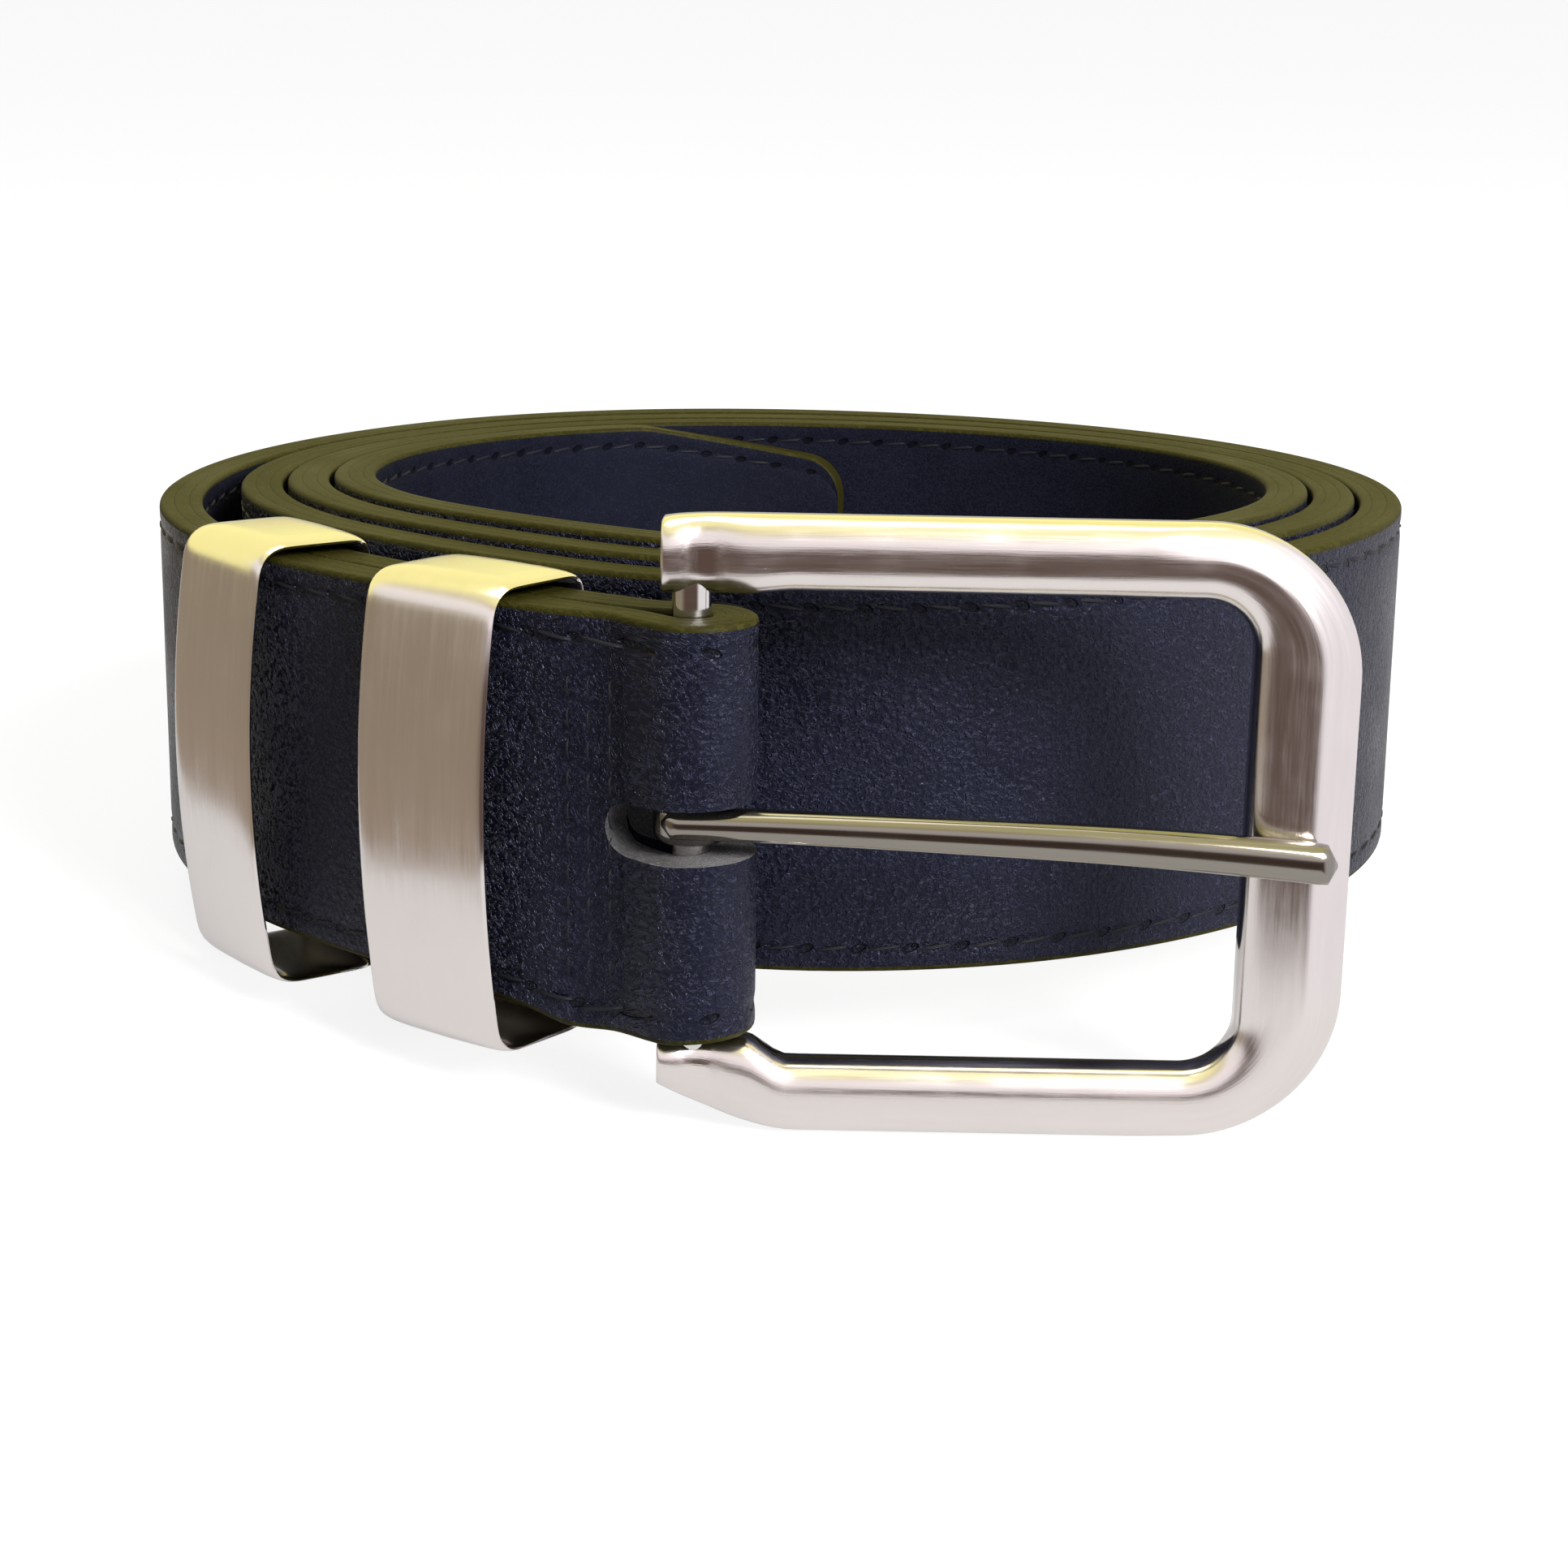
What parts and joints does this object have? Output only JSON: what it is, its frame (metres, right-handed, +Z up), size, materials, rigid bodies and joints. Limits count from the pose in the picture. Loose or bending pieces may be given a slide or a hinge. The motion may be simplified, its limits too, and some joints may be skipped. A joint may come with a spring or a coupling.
{
  "type": "leather belt",
  "caption": "Leather dress belt coiled on its edge: stitched strap with punched holes, hinged frame buckle with prong, and metal keepers that slide on the doubled end.",
  "frame": {"origin": "centre of the belt's footprint, on the surface that it stands on", "axes": "+X from the hinge pin towards the far bar of the buckle, +Y from the buckle to the back of the coil, +Z up, across the width of the strap"},
  "size_m": [0.1294, 0.1477, 0.0532],
  "materials": {
    "face_leather": "pebbled navy-black grain leather, semi-gloss",
    "filler_board": "bonded leather fibre board, painted at the edge",
    "lining_leather": "smooth charcoal split leather, matt",
    "thread": "waxed polyester thread",
    "satin_nickel": "brushed nickel plate with polished rims",
    "polished_nickel": "polished nickel plate"
  },
  "bodies": {
    "strap": {"face_leather": "face_leather", "filler_board": "filler_board", "lining_leather": "lining_leather", "needle_thread": "thread", "bobbin_thread": "thread", "fold_stitching": "thread"},
    "buckle": {"buckle_frame": "satin_nickel", "hinge_pin": "polished_nickel"},
    "prong": {"prong": "polished_nickel"},
    "keeper_near": {"keeper_near": "satin_nickel"},
    "keeper_far": {"keeper_far": "satin_nickel"}
  },
  "joints": [
    {"name": "buckle_hinge", "type": "hinge", "parent": "strap", "child": "buckle", "pos_m": [-0.00749, -0.06668, 0.02719], "axis": [0, -0.0696, -0.9976], "range_deg": [-20, 70]},
    {"name": "prong_hinge", "type": "hinge", "parent": "buckle", "child": "prong", "pos_m": [-0.00749, -0.06668, 0.02719], "axis": [0, -0.0696, -0.9976], "range_deg": [0, 64]},
    {"name": "keeper_near_slide", "type": "hinge", "parent": "strap", "child": "keeper_near", "pos_m": [0.07422, 0.07662, 0.01719], "axis": [0, 0.0696, 0.9976], "range_deg": [-1.9, 1.7]},
    {"name": "keeper_far_slide", "type": "hinge", "parent": "strap", "child": "keeper_far", "pos_m": [0.00266, 0.00271, 0.02235], "axis": [0, 0.0696, 0.9976], "range_deg": [-1.2, 5]}
  ]
}
